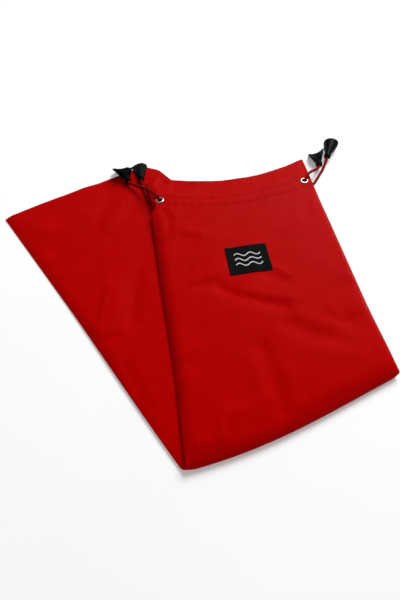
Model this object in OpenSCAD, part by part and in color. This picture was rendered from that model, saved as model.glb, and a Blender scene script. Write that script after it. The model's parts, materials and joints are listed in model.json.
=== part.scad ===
// Flat drawstring rope sack, empty and folded once across its length.
// The lower half lies on the table with its back panel up, and the upper half
// is folded over it with its front panel up. The front panel wraps the fold.

/* [Sack] */
// Width across the mouth
bag_w = 240; // [200:1:280]
// Left side of the upper half, from the fold to the mouth corner
upper_len = 422; // [380:1:460]
// Left side of the lower half, from the fold to the bottom corner
lower_len = 429; // [400:1:460]
// Angle of the fold line from square across the sack
fold_skew = 14.5; // [8:0.5:20]
// Width along the bottom seam
bottom_w = 222; // [200:1:240]
// How far the bottom seam lies out of square with the left side
bottom_slant = 6; // [0:0.5:10]
// Thickness of the coated cloth
cloth_t = 0.5; // [0.4:0.05:0.6]

/* [Loft] */
// Space between the panels of the lower half beside the fold
lower_gap = 4.2; // [4.1:0.1:4.6]
// Space between the panels of the lower half at its bottom seam
bottom_gap = 0.3; // [0.2:0.1:0.5]
// Distance from the fold at which the lower half starts to thin
taper_start = 100; // [80:5:120]
// Distance from the fold at which the lower half is at its thinnest
taper_end = 330; // [300:5:340]
// Clearance between the two halves beside the fold
half_gap = 0.4; // [0.3:0.1:0.6]
// Width of the cloth taken up by each closed seam
seam_w = 1.2; // [0.8:0.1:2]

/* [Mouth and hem] */
// Dip of the mouth edge between its corners
mouth_dip = 30; // [15:1:35]
// Depth of the hem at the mouth corners
hem_depth = 62; // [56:1:66]
// Dip of the hem's lower stitch line between the sides
hem_dip = 23; // [15:1:26]
// Width of the drawcord casing between its two stitch lines
casing_w = 20; // [16:1:22]
// How much higher the hem lies at its right end than at its left
hem_slant = 6; // [0:1:8]
// Thickness of the turned-in hem cloth
facing_t = 0.4; // [0.3:0.05:0.5]
// Clear height of the casing
casing_h = 2; // [1.9:0.05:2.2]
// Clear height of the open mouth between the two hems
mouth_h = 4.2; // [4.1:0.1:4.6]
// Width of a stitch line's thread
thread_w = 0.8; // [0.6:0.1:1]

/* [Eyelets] */
// Hole through the eyelet
eyelet_hole = 6.6; // [6:0.1:7]
// Outer diameter of the eyelet's flange
eyelet_od = 12; // [11:0.5:13]
// Thickness of the flange
flange_t = 0.6; // [0.5:0.05:0.7]
// Distance of the eyelets from the side edges
eyelet_inset = 13.5; // [12:0.5:15]

/* [Drawcords] */
// Diameter of the round cord outside the casing
cord_d = 3.6; // [3.4:0.1:3.8]
// Width of the cord where it lies pressed flat in the casing
flat_cord_w = 6.8; // [6:0.2:8]
// Height of the cord where it lies pressed flat in the casing
flat_cord_h = 1.5; // [1.4:0.05:1.5]
// Diameter of the knot at each cord end
knot_d = 7; // [6.4:0.1:7.4]

/* [Cord end tabs] */
// Length of a tab
tab_len = 38; // [34:1:42]
// Length of the rolled neck
neck_len = 8; // [6:1:9]
// Radius of the rolled neck, at the middle of the sheet
neck_r = 3.5; // [3.4:0.1:3.8]
// Half the width of the tab's sheet at its far end, measured along its roll
tab_half_w = 14.6; // [13:0.2:15.6]
// Thickness of the tab's sheet
tab_t = 1.4; // [1.2:0.1:1.5]

/* [Label] */
// Width of the woven label
label_w = 54; // [48:1:58]
// Height of the woven label
label_h = 45; // [38:1:48]
// Thickness of the label
label_t = 0.7; // [0.5:0.1:0.9]
// Centre of the label from the left side
label_x = 113; // [100:1:130]
// Centre of the label from the left end of the fold
label_y = 233; // [220:1:250]

/* [Hidden] */

$fn = 48;
cloth_colour = "#B00808";
cord_colour = "#A00A0E";
tab_colour = "#1B1D20";
metal_colour = "#C9CCCF";

// Heights of the layers, from the table up
lower_top = 2 * cloth_t + lower_gap;
bottom_top = 2 * cloth_t + bottom_gap;
upper_base = lower_top + half_gap;
upper_gap = 2 * (casing_h + facing_t) + mouth_h;
stack_top = upper_base + 2 * cloth_t + upper_gap;
back_inside = upper_base + cloth_t;
front_inside = stack_top - cloth_t;
back_facing_z = back_inside + casing_h;
front_facing_z = front_inside - casing_h - facing_t;
fold_r = stack_top / 2;
inner_fold_z = lower_top + half_gap / 2;
inner_fold_r = half_gap / 2 + cloth_t;

// Plan of the sack, from the left end of the fold, with +Y up the upper half
function along(angle) = [cos(angle), sin(angle)];
side_angle = 90 + 2 * fold_skew;
fold_dir = along(fold_skew);
fold_out = along(fold_skew - 90);
fold_len = bag_w / cos(fold_skew);
fold_right = fold_len * fold_dir;
bottom_left = lower_len * along(side_angle);
bottom_right = bottom_left + bottom_w * along(side_angle - 90 - bottom_slant);
lower_outline = [[0, 0], fold_right, bottom_right, bottom_left];
origin_x = (bottom_left[0] + fold_right[0] + fold_r * fold_out[0]) / 2;
origin_y = (bottom_right[1] + fold_r * fold_out[1]) / 2;
past_all = 600;

// Height above y = 0 of a line across the upper half that dips between its ends
arc_steps = 24;
function arc_y(x, left_y, right_y, dip) =
  left_y + (right_y - left_y) * x / bag_w - dip * (1 - pow(2 * x / bag_w - 1, 2));
function arc(left_y, right_y, dip, x0 = 0, x1 = bag_w) =
  [for (i = [0:arc_steps]) let(x = x0 + (x1 - x0) * i / arc_steps)
    [x, arc_y(x, left_y, right_y, dip)]];
function backwards(list) = [for (i = [len(list) - 1:-1:0]) list[i]];

stitch_y = upper_len - hem_depth;
casing_dip = (hem_dip * 2 + mouth_dip) / 3;
casing_y = stitch_y + casing_w / 2;
function casing_at(x) =
  arc_y(x, casing_y - hem_slant / 2, casing_y + hem_slant / 2, casing_dip);
left_eyelet = [eyelet_inset, casing_at(eyelet_inset)];
right_eyelet = [bag_w - eyelet_inset, casing_at(bag_w - eyelet_inset)];
barrel_r = eyelet_hole / 2 + 0.7;
barrel_slack = 0.05;
washer_t = 0.4;

// Free cord routes, from the left end of the fold, chosen by hand
left_front_route = [[13.7, 361.6, 14.2], [13.1, 362.6, 15.9], [11.8, 364.7, 17.6],
  [9.5, 368.4, 18.9], [6.4, 373.4, 19.2], [3.4, 378.1, 18.9], [0.1, 383.4, 18.1],
  [-3.3, 388.8, 16.7], [-7.3, 394.2, 14.6], [-11.3, 399.4, 12.2], [-15.4, 404.4, 10],
  [-19.5, 409, 8.5], [-23.4, 412.9, 7.8], [-26.8, 416.8, 7.5], [-29.5, 421, 7.4],
  [-31.1, 426.7, 7.2]];
right_front_route = [[226.3, 367.1, 14.2], [227, 368, 15.9], [228.5, 369.8, 17.6],
  [231.3, 373, 18.9], [235.2, 377.1, 19.1], [239.4, 381.3, 18.3], [243.8, 385.5, 16.5],
  [248, 389.2, 14.2], [252.2, 392.9, 12.2], [256, 396.3, 10.8], [259.2, 399.6, 10],
  [261.4, 402.3, 9.6], [262.8, 405.2, 9.4], [263.9, 411, 8.9]];
left_back_route = [[14, 361.7, 7.2], [12.6, 362.3, 5.2], [10.2, 363.6, 3.9],
  [6.8, 365.7, 3.3], [3, 369.4, 3.2], [0.4, 373, 3.2], [-1.5, 377, 3.2], [-4, 384, 3.2],
  [-6, 392, 3.2], [-7.2, 400, 3.4], [-8.1, 407.4, 4.6], [-9.1, 414.6, 6.4],
  [-9.8, 421.7, 7.4], [-9.9, 427.6, 7.2]];
right_back_route = [[226.5, 367.4, 6.8], [227.8, 367.7, 4.9], [231, 368.6, 2.9],
  [235, 369.4, 2], [239.5, 370.6, 1.9], [244, 373, 1.9], [249, 377.8, 1.9],
  [255, 385.4, 1.9], [261.2, 393.4, 1.9], [267.4, 401.4, 2.2], [272.9, 409.6, 3.3],
  [278.2, 417.7, 5], [282.7, 426.2, 6.6], [285.3, 431.4, 7.6]];
cord_sides = 8;

// Each tab: the middle of its neck's near end, its heading, its tilt, how far it is turned
// over (about half a turn puts its open side up) and the half angle it opens to
left_front_tab_at = [[-29.5, 421, 7.4], 106, -2, 192, 34];
right_front_tab_at = [[262.8, 405.2, 9.4], 79, -5, 154, 54];
left_back_tab_at = [[-9.8, 421.7, 7.4], 91, -2, 0, 66];
right_back_tab_at = [[282.7, 426.2, 6.6], 63, 10, -7, 72];
knot_in = neck_len + 1.5;
binding_t = 0.7;
neck_half_angle = 150;

module placed() {
  translate([-origin_x, -origin_y, 0]) children();
}

// A layer of cloth in the upper half
module layer(z, t) {
  placed() translate([0, 0, z]) linear_extrude(t) children();
}

// A band between two lines across the upper half
module band(top_line, bottom_line) {
  polygon(concat(backwards(top_line), bottom_line));
}

// A strip of width w along the inside of the edge from p to q, inside on its left
module edge_strip(p, q, w) {
  across = [p[1] - q[1], q[0] - p[0]] / norm(q - p);
  polygon([p, q, q + across * w, p + across * w]);
}

// A profile of distance from the fold and height, run all along the fold
module along_fold(length, start = 0) {
  rotate([0, 0, fold_skew]) translate([start, 0, 0]) rotate([90, 0, 90])
    linear_extrude(length) children();
}

// Whatever lies between two heights of the lower half: its underside and its top
module lower_layer(under, over) {
  placed() intersection() {
    linear_extrude(past_all) children();
    along_fold(2 * past_all, -past_all)
      polygon(concat(under, backwards(over)));
  }
}

function lower_line(near_z, far_z) =
  [[0, near_z], [taper_start, near_z], [taper_end, far_z], [past_all, far_z]];
floor_line = lower_line(cloth_t, cloth_t);
under_back = lower_line(lower_top - cloth_t, bottom_top - cloth_t);
over_back = lower_line(lower_top, bottom_top);

module lower_side(p, q) {
  color(cloth_colour) lower_layer(floor_line, under_back) intersection() {
    polygon(lower_outline);
    edge_strip(p, q, seam_w);
  }
}

// --- lower half ---
module front_panel_lower() {
  color(cloth_colour) layer(0, cloth_t) polygon(lower_outline);
}

module back_panel_lower() {
  color(cloth_colour) lower_layer(under_back, over_back) polygon(lower_outline);
}

module left_side_seam_lower() {
  lower_side(bottom_left, [0, 0]);
}

module right_side_seam_lower() {
  lower_side(fold_right, bottom_right);
}

module bottom_seam() {
  color(cloth_colour) lower_layer(floor_line, under_back) difference() {
    intersection() {
      polygon(lower_outline);
      edge_strip(bottom_right, bottom_left, seam_w);
    }
    edge_strip(bottom_left, [0, 0], seam_w);
    edge_strip(fold_right, bottom_right, seam_w);
  }
}

// --- fold ---
module half_ring(r, z, t) {
  intersection() {
    translate([0, z]) difference() {
      circle(r, $fn = 96);
      circle(r - t, $fn = 96);
    }
    translate([-past_all, z - r]) square([past_all, 2 * r]);
  }
}

module front_panel_fold() {
  color(cloth_colour) placed() along_fold(fold_len) half_ring(fold_r, fold_r, cloth_t);
}

module back_panel_fold() {
  color(cloth_colour) placed() along_fold(fold_len)
    half_ring(inner_fold_r, inner_fold_z, cloth_t);
}

module fold_seam(start) {
  color(cloth_colour) placed() along_fold(seam_w, start) difference() {
    half_ring(fold_r - cloth_t, fold_r, fold_r - cloth_t);
    translate([0, inner_fold_z]) circle(inner_fold_r, $fn = 96);
  }
}

module left_fold_seam() {
  fold_seam(0);
}

module right_fold_seam() {
  fold_seam(fold_len - seam_w);
}

// --- upper half ---
module upper_panel(z) {
  difference() {
    layer(z, cloth_t)
      polygon(concat([[0, 0], fold_right], backwards(arc(upper_len, upper_len, mouth_dip))));
    at_eyelets(z) translate([0, 0, -1]) cylinder(r = barrel_r + barrel_slack, h = cloth_t + 2);
  }
}

module at_eyelets(z) {
  at_eyelet(left_eyelet, z) children();
  at_eyelet(right_eyelet, z) children();
}

module at_eyelet(centre, z) {
  placed() translate([centre[0], centre[1], z]) children();
}

module front_panel_upper() {
  color(cloth_colour) upper_panel(front_inside);
}

module back_panel_upper() {
  color(cloth_colour) upper_panel(upper_base);
}

module upper_side(x, start_y) {
  color(cloth_colour) layer(back_inside, upper_gap) intersection() {
    translate([x, start_y]) square([seam_w, upper_len - start_y]);
    polygon(concat([[0, 0], fold_right], backwards(arc(upper_len, upper_len, mouth_dip))));
  }
}

module left_side_seam_upper() {
  upper_side(0, 0);
}

module right_side_seam_upper() {
  upper_side(bag_w - seam_w, 0);
}

// --- hem ---
// A line of the given width across the upper half, clear of the side seams
module across_line(left_y, right_y, dip, w) {
  x0 = seam_w + 0.1;
  x1 = bag_w - seam_w - 0.1;
  band(arc(left_y, right_y, dip, x0, x1), arc(left_y - w, right_y - w, dip, x0, x1));
}

module hem_facing(sheet_z, casing_z) {
  x0 = seam_w + 0.1;
  x1 = bag_w - seam_w - 0.1;
  color(cloth_colour) {
    layer(sheet_z, facing_t) band(
      arc(upper_len, upper_len, mouth_dip, x0, x1),
      arc(stitch_y - hem_slant / 2, stitch_y + hem_slant / 2, hem_dip, x0, x1));
    layer(casing_z, casing_h) {
      across_line(upper_len, upper_len, mouth_dip, 1);
      casing_lines(1);
    }
  }
}

// The two stitch lines that bound the casing
module casing_lines(w) {
  low_y = stitch_y - hem_slant / 2;
  high_y = stitch_y + hem_slant / 2;
  across_line(low_y + w, high_y + w, hem_dip, w);
  across_line(low_y + casing_w, high_y + casing_w, hem_dip + (mouth_dip - hem_dip) / 2, w);
}

module front_hem_facing() {
  hem_facing(front_facing_z, front_facing_z + facing_t);
}

module back_hem_facing() {
  hem_facing(back_facing_z, back_inside);
}

module front_hem_stitching() {
  color(cloth_colour) layer(stack_top, 0.25) casing_lines(thread_w);
}

module back_hem_stitching() {
  color(cloth_colour) layer(upper_base - 0.25, 0.25) casing_lines(thread_w);
}

// --- label ---
module label() {
  color(tab_colour) layer(stack_top, label_t) translate([label_x, label_y])
    square([label_w, label_h], center = true);
}

module label_stitching() {
  edge = 2;
  color("#3A3D42") layer(stack_top + label_t, 0.2) translate([label_x, label_y]) difference() {
    square([label_w - edge, label_h - edge], center = true);
    square([label_w - edge - thread_w, label_h - edge - thread_w], center = true);
  }
}

// --- eyelets ---
// The eyelet stands on the cloth's outer face, with its barrel going down through it
module eyelet() {
  hole_r = eyelet_hole / 2;
  outer_r = eyelet_od / 2;
  color(metal_colour) rotate_extrude($fn = 64) {
    translate([hole_r, -cloth_t - washer_t]) square([barrel_r - hole_r, cloth_t + washer_t + 0.1]);
    translate([hole_r, 0]) square([outer_r - hole_r - flange_t / 2, flange_t]);
    translate([hole_r, 0]) square([outer_r - hole_r, flange_t / 2]);
    translate([outer_r - flange_t / 2, flange_t / 2]) circle(flange_t / 2, $fn = 24);
  }
}

module washer() {
  color(metal_colour) translate([0, 0, -cloth_t - washer_t]) rotate_extrude($fn = 64)
    translate([barrel_r + barrel_slack, 0]) square([eyelet_od / 2 - 0.6 - barrel_r, washer_t]);
}

module on_front(centre) {
  at_eyelet(centre, stack_top) children();
}

module on_back(centre) {
  at_eyelet(centre, upper_base) mirror([0, 0, 1]) children();
}

module left_front_eyelet() {
  on_front(left_eyelet) eyelet();
}

module right_front_eyelet() {
  on_front(right_eyelet) eyelet();
}

module left_back_eyelet() {
  on_back(left_eyelet) eyelet();
}

module right_back_eyelet() {
  on_back(right_eyelet) eyelet();
}

module left_front_washer() {
  on_front(left_eyelet) washer();
}

module right_front_washer() {
  on_front(right_eyelet) washer();
}

module left_back_washer() {
  on_back(left_eyelet) washer();
}

module right_back_washer() {
  on_back(right_eyelet) washer();
}

// --- cords ---
function unit(v) = v / norm(v);
function heading(route, i) =
  unit(route[min(i + 1, len(route) - 1)] - route[max(i - 1, 0)]);
// Side and rise of the tube's ring at point i, square to the route
function ring_side(d) = unit(cross(d, [0, 0, 1]));
function ring(route, i, wide, high, sides) =
  let(d = heading(route, i), s = ring_side(d), r = cross(s, d))
  [for (k = [0:sides - 1]) let(a = 360 * (k + 0.5) / sides)
    route[i] + s * wide / 2 * cos(a) + r * high / 2 * sin(a)];

module tube(route, wide, high, sides) {
  rings = len(route);
  polyhedron(
    points = [for (i = [0:rings - 1]) each ring(route, i, wide, high, sides)],
    faces = concat(
      [[for (k = [0:sides - 1]) k]],
      [for (i = [0:rings - 2]) for (k = [0:sides - 1]) let(n = (k + 1) % sides)
        each [[i * sides + k, (i + 1) * sides + k, (i + 1) * sides + n],
          [i * sides + k, (i + 1) * sides + n, i * sides + n]]],
      [[for (k = [sides - 1:-1:0]) (rings - 1) * sides + k]]));
}

module free_cord(route) {
  color(cord_colour) placed() tube(route, cord_d, cord_d, cord_sides);
}

module cased_cord(z) {
  x0 = left_eyelet[0] + 1;
  x1 = right_eyelet[0] - 1;
  route = [for (i = [0:arc_steps]) let(x = x0 + (x1 - x0) * i / arc_steps) [x, casing_at(x), z]];
  color(cord_colour) placed() tube(route, flat_cord_w, flat_cord_h, 12);
}

module front_drawcord() {
  cased_cord(front_facing_z + facing_t + flat_cord_h / 2 + 0.05);
}

module back_drawcord() {
  cased_cord(back_facing_z - flat_cord_h / 2 - 0.05);
}

module left_front_cord() {
  free_cord(left_front_route);
}

module right_front_cord() {
  free_cord(right_front_route);
}

module left_back_cord() {
  free_cord(left_back_route);
}

module right_back_cord() {
  free_cord(right_back_route);
}

// --- cord ends ---
// In a tab's own frame the neck starts at the origin and runs along +X
module at_tab(place) {
  placed() translate(place[0]) rotate([0, 0, place[1]]) rotate([0, -place[2], 0])
    rotate([place[3], 0, 0]) children();
}

// Radius and half angle of the rolled sheet, from 0 at the neck to 1 at its far end, where
// its half angle is far_half
function roll_r(s, far_half) =
  let(far_r = tab_half_w * 180 / (PI * far_half), opening = (far_r - neck_r) * 0.8)
  neck_r + opening * s + (far_r - neck_r - opening) * s * s;
function roll_half(s, far_half) =
  far_half + (neck_half_angle - far_half) * pow(1 - s, 1.5);
sheet_steps = 10;
roll_steps = 16;
function sheet_row(x, s, offset, far_half) =
  let(r = roll_r(s, far_half), half = roll_half(s, far_half))
  [for (k = [0:roll_steps]) let(a = half * (2 * k / roll_steps - 1))
    [x, (r + offset) * sin(a), (r + offset) * cos(a) - r + neck_r]];
function sheet_rows(offset, far_half) = concat(
  [sheet_row(0, 0, offset, far_half)],
  [for (i = [0:sheet_steps]) let(s = i / sheet_steps)
    sheet_row(neck_len + (tab_len - neck_len) * s, s, offset, far_half)]);

module rolled_sheet(far_half) {
  rows = sheet_steps + 2;
  wide = roll_steps + 1;
  top = rows * wide;
  last = (rows - 1) * wide;
  end = wide - 1;
  polyhedron(
    points = concat([for (row = sheet_rows(tab_t / 2, far_half)) each row],
      [for (row = sheet_rows(-tab_t / 2, far_half)) each row]),
    faces = concat(
      [for (i = [0:rows - 2]) for (k = [0:end - 1]) let(p = i * wide + k)
        each [[p, p + 1, p + wide + 1], [p, p + wide + 1, p + wide],
          [top + p, top + p + wide + 1, top + p + 1], [top + p, top + p + wide, top + p + wide + 1]]],
      [for (i = [0:rows - 2]) let(p = i * wide, q = p + end)
        each [[p, p + wide, top + p + wide], [p, top + p + wide, top + p],
          [q, top + q, top + q + wide], [q, top + q + wide, q + wide]]],
      [for (k = [0:end - 1]) let(q = last + k)
        each [[k, top + k, top + k + 1], [k, top + k + 1, k + 1],
          [q, q + 1, top + q + 1], [q, top + q + 1, top + q]]]));
}

module tab(place) {
  color(tab_colour) at_tab(place) rolled_sheet(place[4]);
}

module binding(place) {
  inner_r = neck_r + tab_t / 2 + 0.05;
  color(tab_colour) at_tab(place) translate([1, 0, 0]) rotate([0, 90, 0]) difference() {
    cylinder(r = inner_r + binding_t, h = neck_len - 2);
    translate([0, 0, -1]) cylinder(r = inner_r, h = neck_len);
  }
}

module knot(place) {
  color(cord_colour) at_tab(place) translate([knot_in, 0, -0.6]) sphere(d = knot_d, $fn = 32);
}

module left_front_tab() {
  tab(left_front_tab_at);
}

module right_front_tab() {
  tab(right_front_tab_at);
}

module left_back_tab() {
  tab(left_back_tab_at);
}

module right_back_tab() {
  tab(right_back_tab_at);
}

module left_front_binding() {
  binding(left_front_tab_at);
}

module right_front_binding() {
  binding(right_front_tab_at);
}

module left_back_binding() {
  binding(left_back_tab_at);
}

module right_back_binding() {
  binding(right_back_tab_at);
}

module left_front_knot() {
  knot(left_front_tab_at);
}

module right_front_knot() {
  knot(right_front_tab_at);
}

module left_back_knot() {
  knot(left_back_tab_at);
}

module right_back_knot() {
  knot(right_back_tab_at);
}

front_panel_lower();
back_panel_lower();
left_side_seam_lower();
right_side_seam_lower();
bottom_seam();
front_panel_fold();
back_panel_fold();
left_fold_seam();
right_fold_seam();
front_panel_upper();
back_panel_upper();
left_side_seam_upper();
right_side_seam_upper();
front_hem_facing();
back_hem_facing();
front_hem_stitching();
back_hem_stitching();
label();
label_stitching();
left_front_eyelet();
right_front_eyelet();
left_back_eyelet();
right_back_eyelet();
left_front_washer();
right_front_washer();
left_back_washer();
right_back_washer();
front_drawcord();
back_drawcord();
left_front_cord();
right_front_cord();
left_back_cord();
right_back_cord();
left_front_knot();
right_front_knot();
left_back_knot();
right_back_knot();
left_front_tab();
right_front_tab();
left_back_tab();
right_back_tab();
left_front_binding();
right_front_binding();
left_back_binding();
right_back_binding();
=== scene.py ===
import json
import math

import bmesh
import bpy
import numpy as np
from mathutils import Matrix, Vector


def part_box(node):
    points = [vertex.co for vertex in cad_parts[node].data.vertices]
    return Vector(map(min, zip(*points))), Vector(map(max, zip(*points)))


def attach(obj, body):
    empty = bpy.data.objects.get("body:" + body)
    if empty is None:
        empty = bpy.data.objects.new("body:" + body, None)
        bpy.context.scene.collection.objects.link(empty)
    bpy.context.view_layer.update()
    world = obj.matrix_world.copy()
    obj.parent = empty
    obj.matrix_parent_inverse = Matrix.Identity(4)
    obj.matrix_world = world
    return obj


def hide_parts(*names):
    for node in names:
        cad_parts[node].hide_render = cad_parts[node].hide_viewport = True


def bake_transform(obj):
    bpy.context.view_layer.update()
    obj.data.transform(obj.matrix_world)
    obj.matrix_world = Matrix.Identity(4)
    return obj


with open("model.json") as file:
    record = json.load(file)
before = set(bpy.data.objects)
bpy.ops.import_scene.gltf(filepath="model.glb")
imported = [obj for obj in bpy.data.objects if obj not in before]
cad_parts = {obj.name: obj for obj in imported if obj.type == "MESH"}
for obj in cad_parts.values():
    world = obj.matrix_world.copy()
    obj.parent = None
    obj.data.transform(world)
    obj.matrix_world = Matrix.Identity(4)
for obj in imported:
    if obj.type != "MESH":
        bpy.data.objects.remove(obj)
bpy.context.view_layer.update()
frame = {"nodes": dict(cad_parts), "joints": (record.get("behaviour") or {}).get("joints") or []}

MM = 0.001

# --- the sack's frame: everything is measured from the left end of the fold, in metres ---
fold = next(j for j in frame["joints"] if j["name"] == "bag_fold")
CORNER = np.array([fold["pos_m"][0], fold["pos_m"][1], 0.0])
FOLD_DIR = np.array(fold["axis"], float)
FOLD_OUT = np.array([FOLD_DIR[1], -FOLD_DIR[0], 0.0])
SKEW = math.atan2(FOLD_DIR[1], FOLD_DIR[0])


def mid_height(node):
    low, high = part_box(node)
    return (low.z + high.z) / 2


CLOTH_T = 0.5 * MM
BAG_W = 240 * MM
UPPER_LEN = 422 * MM
LOWER_LEN = 429 * MM
BOTTOM_W = 222 * MM
BOTTOM_SLANT = math.radians(6)
MOUTH_DIP = 30 * MM
HEM_DIP = 23 * MM
HEM_DEPTH = 62 * MM
HEM_LOW = UPPER_LEN - HEM_DEPTH
HEM_SLANT = 6 * MM
CASING_W = 20 * MM
EYELET_INSET = 13.5 * MM
PUCKER_Y = 354.5 * MM
PUCKER_IN = 7 * MM

FRONT_Z = mid_height("front_panel_upper")
BACK_Z = mid_height("back_panel_upper")
FLOOR_Z = mid_height("front_panel_lower")
NEAR_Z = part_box("back_panel_lower")[1].z - CLOTH_T / 2
FAR_Z = 1.05 * MM
TAPER_START = 80 * MM
TAPER_END = 330 * MM
FACING_FRONT_Z = 12.9 * MM
FACING_BACK_Z = 8.3 * MM
FACING_GAP = 0.7 * MM
FACING_INSET = 1.3 * MM
FACING_RISE = 0.9 * MM
SEAM_Z = (FRONT_Z + BACK_Z) / 2
LEFT_SEAM_SAG = 4.2 * MM
RIGHT_SEAM_SAG = 3.6 * MM
RIGHT_DROOP = 3.6 * MM
EDGE_W = 14 * MM
TURN_IN = 16 * MM
FOLD_DROP = 4.2 * MM
FOLD_REACH = 11 * MM
FOLD_LEAN = math.radians(50)


def along(angle):
    """The plan direction at an angle from +X."""
    return np.array([math.cos(angle), math.sin(angle)])


SIDE_ANGLE = math.pi / 2 + 2 * SKEW
FOLD_RIGHT = BAG_W * np.array([1, math.tan(SKEW)])
BOTTOM_LEFT = LOWER_LEN * along(SIDE_ANGLE)
BOTTOM_RIGHT = BOTTOM_LEFT + BOTTOM_W * along(SIDE_ANGLE - math.pi / 2 - BOTTOM_SLANT)

# Free cords, from the eyelet to the knot in the tab, as in the CAD
CORD_D = 3.6 * MM
CORD_STEP = 0.9 * MM
ROUTES = {
    "left_front": [
        (0.0137, 0.3616, 0.0142), (0.0131, 0.3626, 0.0159), (0.0118, 0.3647, 0.0176),
        (0.0095, 0.3684, 0.0189), (0.0064, 0.3734, 0.0192), (0.0034, 0.3781, 0.0189),
        (0.0001, 0.3834, 0.0181), (-0.0033, 0.3888, 0.0167), (-0.0073, 0.3942, 0.0146),
        (-0.0113, 0.3994, 0.0122), (-0.0154, 0.4044, 0.01), (-0.0195, 0.409, 0.0085),
        (-0.0234, 0.4129, 0.0078), (-0.0268, 0.4168, 0.0075), (-0.0295, 0.421, 0.0074),
        (-0.0311, 0.4267, 0.0072)],
    "right_front": [
        (0.2263, 0.3671, 0.0142), (0.227, 0.368, 0.0159), (0.2285, 0.3698, 0.0176),
        (0.2313, 0.373, 0.0189), (0.2352, 0.3771, 0.0191), (0.2394, 0.3813, 0.0183),
        (0.2438, 0.3855, 0.0165), (0.248, 0.3892, 0.0142), (0.2522, 0.3929, 0.0122),
        (0.256, 0.3963, 0.0108), (0.2592, 0.3996, 0.01), (0.2614, 0.4023, 0.0096),
        (0.2628, 0.4052, 0.0094), (0.2639, 0.411, 0.0089)],
    "left_back": [
        (0.014, 0.3617, 0.0072), (0.0126, 0.3623, 0.0052), (0.0102, 0.3636, 0.0039),
        (0.0068, 0.3657, 0.0033), (0.003, 0.3694, 0.0032), (0.0004, 0.373, 0.0032),
        (-0.0015, 0.377, 0.0032), (-0.004, 0.384, 0.0032), (-0.006, 0.392, 0.0032),
        (-0.0072, 0.4, 0.0034), (-0.0081, 0.4074, 0.0046), (-0.0091, 0.4146, 0.0064),
        (-0.0098, 0.4217, 0.0074), (-0.0099, 0.4276, 0.0072)],
    "right_back": [
        (0.2265, 0.3674, 0.0068), (0.2278, 0.3677, 0.0049), (0.231, 0.3686, 0.0029),
        (0.235, 0.3694, 0.002), (0.2395, 0.3706, 0.0019), (0.244, 0.373, 0.0019),
        (0.249, 0.3778, 0.0019), (0.255, 0.3854, 0.0019), (0.2612, 0.3934, 0.0019),
        (0.2674, 0.4014, 0.0022), (0.2729, 0.4096, 0.0033), (0.2782, 0.4177, 0.005),
        (0.2827, 0.4262, 0.0066), (0.2853, 0.4314, 0.0076)],
}

# Each tab: the middle of its neck's near end, its heading, its tilt, how far it is turned
# over (about half a turn puts its open side up) and the half angle it opens to, in degrees
TABS = {
    "left_front": ((-0.0295, 0.421, 0.0074), 106, -2, 192, 34),
    "right_front": ((0.2628, 0.4052, 0.0094), 79, -5, 154, 54),
    "left_back": ((-0.0098, 0.4217, 0.0074), 91, -2, 0, 66),
    "right_back": ((0.2827, 0.4262, 0.0066), 63, 10, -7, 72),
}

# How fast each tab widens from its neck, how fast it unrolls, how far its far edge stands out
# in a point, and the share by which its far end is pressed flat
TAB_SHAPES = {
    "left_front": (0.95, 1.4, 0.0, 0.0),
    "right_front": (0.95, 1.5, 0.0, 0.0),
    "left_back": (0.85, 2.2, 4.5 * MM, 0.45),
    "right_back": (1.3, 1.5, 0.0, 0.0),
}


# --- camera ---
def make_camera():
    """Where the photographer stood: over the near edge of the fold, looking down along the sack."""
    data = bpy.data.cameras.new("camera")
    data.lens = 25.42
    data.sensor_width = 36
    cam = bpy.data.objects.new("camera", data)
    bpy.context.scene.collection.objects.link(cam)
    heading, down, roll = math.radians(7.17), math.radians(54.47), math.radians(1.84)
    level = Vector((math.sin(heading), math.cos(heading), 0))
    forward = level * math.cos(down) - Vector((0, 0, math.sin(down)))
    right = Vector((math.cos(heading), -math.sin(heading), 0))
    up = right.cross(forward)
    right, up = (right * math.cos(roll) - up * math.sin(roll),
                 right * math.sin(roll) + up * math.cos(roll))
    place = CORNER + np.array([7.2, -107.7, 421.8]) * MM
    cam.matrix_world = Matrix((
        (right.x, up.x, -forward.x, place[0]),
        (right.y, up.y, -forward.y, place[1]),
        (right.z, up.z, -forward.z, place[2]),
        (0, 0, 0, 1)))
    bpy.context.scene.camera = cam


make_camera()


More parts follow.
